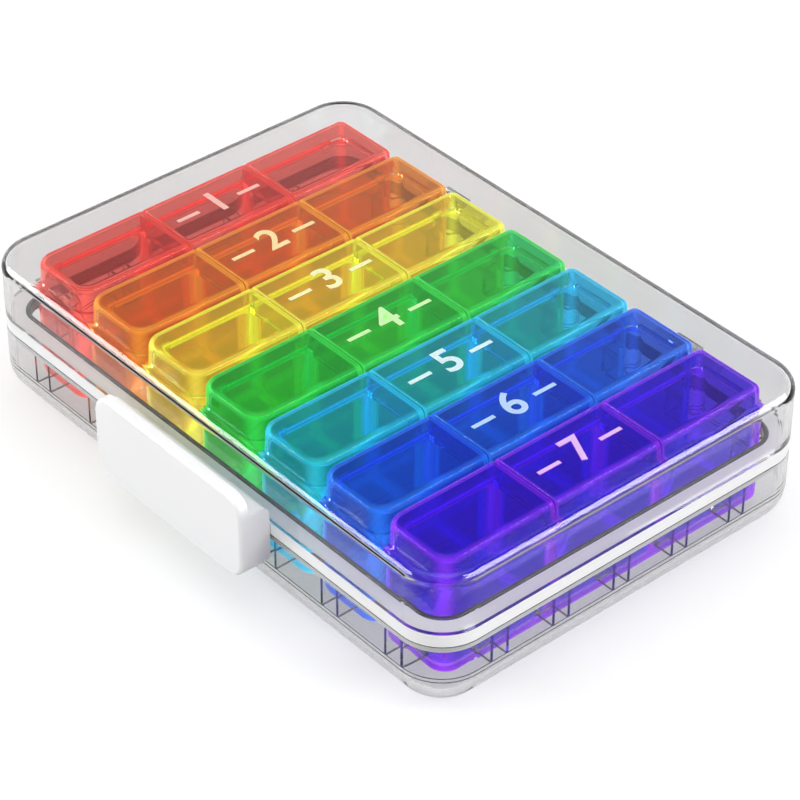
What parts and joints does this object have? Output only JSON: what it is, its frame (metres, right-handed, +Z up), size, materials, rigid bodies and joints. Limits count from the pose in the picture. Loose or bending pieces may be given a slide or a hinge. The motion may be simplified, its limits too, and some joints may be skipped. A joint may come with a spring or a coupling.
{
  "type": "weekly pill organizer",
  "caption": "Clear travel case with a white rim and snap latch, holding lift-out tinted day boxes whose snap lids cover morning, noon and evening compartments.",
  "frame": {"origin": "centre of the flat underside of the tray", "axes": "+X along the row of day boxes, +Z up, -Y towards the latch at the front"},
  "size_m": [0.18, 0.139, 0.0421],
  "materials": {
    "clear_shell": "clear polished plastic",
    "clear_seal": "clear soft plastic",
    "white_plastic": "white moulded, satin",
    "steel_pin": "drawn wire",
    "red_tint": "tinted clear plastic",
    "orange_tint": "tinted clear plastic",
    "yellow_tint": "tinted clear plastic",
    "green_tint": "tinted clear plastic",
    "cyan_tint": "tinted clear plastic",
    "blue_tint": "tinted clear plastic",
    "violet_tint": "tinted clear plastic"
  },
  "bodies": {
    "base": {"base_tray": "clear_shell", "rim_frame": "white_plastic", "rim_seal": "clear_seal", "latch_catch": "clear_shell", "hinge_pin_left": "steel_pin", "hinge_pin_right": "steel_pin"},
    "cover": {"case_lid": "clear_shell", "latch_pin": "white_plastic"},
    "latch": {"latch": "white_plastic"},
    "monday_box": {"monday_box": "red_tint", "monday_lid_rod": "red_tint"},
    "monday_morning_lid": {"monday_morning_lid": "red_tint"},
    "monday_noon_lid": {"monday_noon_lid": "red_tint"},
    "monday_evening_lid": {"monday_evening_lid": "red_tint"},
    "tuesday_box": {"tuesday_box": "orange_tint", "tuesday_lid_rod": "orange_tint"},
    "tuesday_morning_lid": {"tuesday_morning_lid": "orange_tint"},
    "tuesday_noon_lid": {"tuesday_noon_lid": "orange_tint"},
    "tuesday_evening_lid": {"tuesday_evening_lid": "orange_tint"},
    "wednesday_box": {"wednesday_box": "yellow_tint", "wednesday_lid_rod": "yellow_tint"},
    "wednesday_morning_lid": {"wednesday_morning_lid": "yellow_tint"},
    "wednesday_noon_lid": {"wednesday_noon_lid": "yellow_tint"},
    "wednesday_evening_lid": {"wednesday_evening_lid": "yellow_tint"},
    "thursday_box": {"thursday_box": "green_tint", "thursday_lid_rod": "green_tint"},
    "thursday_morning_lid": {"thursday_morning_lid": "green_tint"},
    "thursday_noon_lid": {"thursday_noon_lid": "green_tint"},
    "thursday_evening_lid": {"thursday_evening_lid": "green_tint"},
    "friday_box": {"friday_box": "cyan_tint", "friday_lid_rod": "cyan_tint"},
    "friday_morning_lid": {"friday_morning_lid": "cyan_tint"},
    "friday_noon_lid": {"friday_noon_lid": "cyan_tint"},
    "friday_evening_lid": {"friday_evening_lid": "cyan_tint"},
    "saturday_box": {"saturday_box": "blue_tint", "saturday_lid_rod": "blue_tint"},
    "saturday_morning_lid": {"saturday_morning_lid": "blue_tint"},
    "saturday_noon_lid": {"saturday_noon_lid": "blue_tint"},
    "saturday_evening_lid": {"saturday_evening_lid": "blue_tint"},
    "sunday_box": {"sunday_box": "violet_tint", "sunday_lid_rod": "violet_tint"},
    "sunday_morning_lid": {"sunday_morning_lid": "violet_tint"},
    "sunday_noon_lid": {"sunday_noon_lid": "violet_tint"},
    "sunday_evening_lid": {"sunday_evening_lid": "violet_tint"}
  },
  "joints": [
    {"name": "case_lid_hinge", "type": "hinge", "parent": "base", "child": "cover", "pos_m": [0, 0.0654, 0.0238], "axis": [-1, 0, 0], "range_deg": [0, 180]},
    {"name": "latch_pivot", "type": "hinge", "parent": "cover", "child": "latch", "pos_m": [0, -0.065, 0.0282], "axis": [-1, 0, 0], "range_deg": [0, 40]},
    {"name": "monday_box_lift", "type": "slide", "parent": "base", "child": "monday_box", "axis": [0, 0, 1], "range_m": [0, 0.024]},
    {"name": "monday_morning_lid_hinge", "type": "hinge", "parent": "monday_box", "child": "monday_morning_lid", "pos_m": [-0.08065, -0.035, 0.033], "axis": [0, -1, 0], "range_deg": [0, 90.5]},
    {"name": "monday_noon_lid_hinge", "type": "hinge", "parent": "monday_box", "child": "monday_noon_lid", "pos_m": [-0.08065, 0, 0.033], "axis": [0, -1, 0], "range_deg": [0, 90.5]},
    {"name": "monday_evening_lid_hinge", "type": "hinge", "parent": "monday_box", "child": "monday_evening_lid", "pos_m": [-0.08065, 0.035, 0.033], "axis": [0, -1, 0], "range_deg": [0, 90.5]},
    {"name": "tuesday_box_lift", "type": "slide", "parent": "base", "child": "tuesday_box", "axis": [0, 0, 1], "range_m": [0, 0.024]},
    {"name": "tuesday_morning_lid_hinge", "type": "hinge", "parent": "tuesday_box", "child": "tuesday_morning_lid", "pos_m": [-0.05725, -0.035, 0.033], "axis": [0, -1, 0], "range_deg": [0, 90.5]},
    {"name": "tuesday_noon_lid_hinge", "type": "hinge", "parent": "tuesday_box", "child": "tuesday_noon_lid", "pos_m": [-0.05725, 0, 0.033], "axis": [0, -1, 0], "range_deg": [0, 90.5]},
    {"name": "tuesday_evening_lid_hinge", "type": "hinge", "parent": "tuesday_box", "child": "tuesday_evening_lid", "pos_m": [-0.05725, 0.035, 0.033], "axis": [0, -1, 0], "range_deg": [0, 90.5]},
    {"name": "wednesday_box_lift", "type": "slide", "parent": "base", "child": "wednesday_box", "axis": [0, 0, 1], "range_m": [0, 0.024]},
    {"name": "wednesday_morning_lid_hinge", "type": "hinge", "parent": "wednesday_box", "child": "wednesday_morning_lid", "pos_m": [-0.03385, -0.035, 0.033], "axis": [0, -1, 0], "range_deg": [0, 90.5]},
    {"name": "wednesday_noon_lid_hinge", "type": "hinge", "parent": "wednesday_box", "child": "wednesday_noon_lid", "pos_m": [-0.03385, 0, 0.033], "axis": [0, -1, 0], "range_deg": [0, 90.5]},
    {"name": "wednesday_evening_lid_hinge", "type": "hinge", "parent": "wednesday_box", "child": "wednesday_evening_lid", "pos_m": [-0.03385, 0.035, 0.033], "axis": [0, -1, 0], "range_deg": [0, 90.5]},
    {"name": "thursday_box_lift", "type": "slide", "parent": "base", "child": "thursday_box", "axis": [0, 0, 1], "range_m": [0, 0.024]},
    {"name": "thursday_morning_lid_hinge", "type": "hinge", "parent": "thursday_box", "child": "thursday_morning_lid", "pos_m": [-0.01045, -0.035, 0.033], "axis": [0, -1, 0], "range_deg": [0, 90.5]},
    {"name": "thursday_noon_lid_hinge", "type": "hinge", "parent": "thursday_box", "child": "thursday_noon_lid", "pos_m": [-0.01045, 0, 0.033], "axis": [0, -1, 0], "range_deg": [0, 90.5]},
    {"name": "thursday_evening_lid_hinge", "type": "hinge", "parent": "thursday_box", "child": "thursday_evening_lid", "pos_m": [-0.01045, 0.035, 0.033], "axis": [0, -1, 0], "range_deg": [0, 90.5]},
    {"name": "friday_box_lift", "type": "slide", "parent": "base", "child": "friday_box", "axis": [0, 0, 1], "range_m": [0, 0.024]},
    {"name": "friday_morning_lid_hinge", "type": "hinge", "parent": "friday_box", "child": "friday_morning_lid", "pos_m": [0.01295, -0.035, 0.033], "axis": [0, -1, 0], "range_deg": [0, 90.5]},
    {"name": "friday_noon_lid_hinge", "type": "hinge", "parent": "friday_box", "child": "friday_noon_lid", "pos_m": [0.01295, 0, 0.033], "axis": [0, -1, 0], "range_deg": [0, 90.5]},
    {"name": "friday_evening_lid_hinge", "type": "hinge", "parent": "friday_box", "child": "friday_evening_lid", "pos_m": [0.01295, 0.035, 0.033], "axis": [0, -1, 0], "range_deg": [0, 90.5]},
    {"name": "saturday_box_lift", "type": "slide", "parent": "base", "child": "saturday_box", "axis": [0, 0, 1], "range_m": [0, 0.024]},
    {"name": "saturday_morning_lid_hinge", "type": "hinge", "parent": "saturday_box", "child": "saturday_morning_lid", "pos_m": [0.03635, -0.035, 0.033], "axis": [0, -1, 0], "range_deg": [0, 90.5]},
    {"name": "saturday_noon_lid_hinge", "type": "hinge", "parent": "saturday_box", "child": "saturday_noon_lid", "pos_m": [0.03635, 0, 0.033], "axis": [0, -1, 0], "range_deg": [0, 90.5]},
    {"name": "saturday_evening_lid_hinge", "type": "hinge", "parent": "saturday_box", "child": "saturday_evening_lid", "pos_m": [0.03635, 0.035, 0.033], "axis": [0, -1, 0], "range_deg": [0, 90.5]},
    {"name": "sunday_box_lift", "type": "slide", "parent": "base", "child": "sunday_box", "axis": [0, 0, 1], "range_m": [0, 0.024]},
    {"name": "sunday_morning_lid_hinge", "type": "hinge", "parent": "sunday_box", "child": "sunday_morning_lid", "pos_m": [0.05975, -0.035, 0.033], "axis": [0, -1, 0], "range_deg": [0, 90.5]},
    {"name": "sunday_noon_lid_hinge", "type": "hinge", "parent": "sunday_box", "child": "sunday_noon_lid", "pos_m": [0.05975, 0, 0.033], "axis": [0, -1, 0], "range_deg": [0, 90.5]},
    {"name": "sunday_evening_lid_hinge", "type": "hinge", "parent": "sunday_box", "child": "sunday_evening_lid", "pos_m": [0.05975, 0.035, 0.033], "axis": [0, -1, 0], "range_deg": [0, 90.5]}
  ],
  "couplings": [
    {"joint": "monday_box_lift", "follows": "case_lid_hinge", "m_per_rad": 0.0075},
    {"joint": "monday_morning_lid_hinge", "follows": "case_lid_hinge", "ratio": 0.5},
    {"joint": "monday_noon_lid_hinge", "follows": "case_lid_hinge", "ratio": 0.5},
    {"joint": "monday_evening_lid_hinge", "follows": "case_lid_hinge", "ratio": 0.5},
    {"joint": "tuesday_box_lift", "follows": "case_lid_hinge", "m_per_rad": 0.0075},
    {"joint": "tuesday_morning_lid_hinge", "follows": "case_lid_hinge", "ratio": 0.5},
    {"joint": "tuesday_noon_lid_hinge", "follows": "case_lid_hinge", "ratio": 0.5},
    {"joint": "tuesday_evening_lid_hinge", "follows": "case_lid_hinge", "ratio": 0.5},
    {"joint": "wednesday_box_lift", "follows": "case_lid_hinge", "m_per_rad": 0.0075},
    {"joint": "wednesday_morning_lid_hinge", "follows": "case_lid_hinge", "ratio": 0.5},
    {"joint": "wednesday_noon_lid_hinge", "follows": "case_lid_hinge", "ratio": 0.5},
    {"joint": "wednesday_evening_lid_hinge", "follows": "case_lid_hinge", "ratio": 0.5},
    {"joint": "thursday_box_lift", "follows": "case_lid_hinge", "m_per_rad": 0.0075},
    {"joint": "thursday_morning_lid_hinge", "follows": "case_lid_hinge", "ratio": 0.5},
    {"joint": "thursday_noon_lid_hinge", "follows": "case_lid_hinge", "ratio": 0.5},
    {"joint": "thursday_evening_lid_hinge", "follows": "case_lid_hinge", "ratio": 0.5},
    {"joint": "friday_box_lift", "follows": "case_lid_hinge", "m_per_rad": 0.0075},
    {"joint": "friday_morning_lid_hinge", "follows": "case_lid_hinge", "ratio": 0.5},
    {"joint": "friday_noon_lid_hinge", "follows": "case_lid_hinge", "ratio": 0.5},
    {"joint": "friday_evening_lid_hinge", "follows": "case_lid_hinge", "ratio": 0.5},
    {"joint": "saturday_box_lift", "follows": "case_lid_hinge", "m_per_rad": 0.0075},
    {"joint": "saturday_morning_lid_hinge", "follows": "case_lid_hinge", "ratio": 0.5},
    {"joint": "saturday_noon_lid_hinge", "follows": "case_lid_hinge", "ratio": 0.5},
    {"joint": "saturday_evening_lid_hinge", "follows": "case_lid_hinge", "ratio": 0.5},
    {"joint": "sunday_box_lift", "follows": "case_lid_hinge", "m_per_rad": 0.0075},
    {"joint": "sunday_morning_lid_hinge", "follows": "case_lid_hinge", "ratio": 0.5},
    {"joint": "sunday_noon_lid_hinge", "follows": "case_lid_hinge", "ratio": 0.5},
    {"joint": "sunday_evening_lid_hinge", "follows": "case_lid_hinge", "ratio": 0.5}
  ]
}
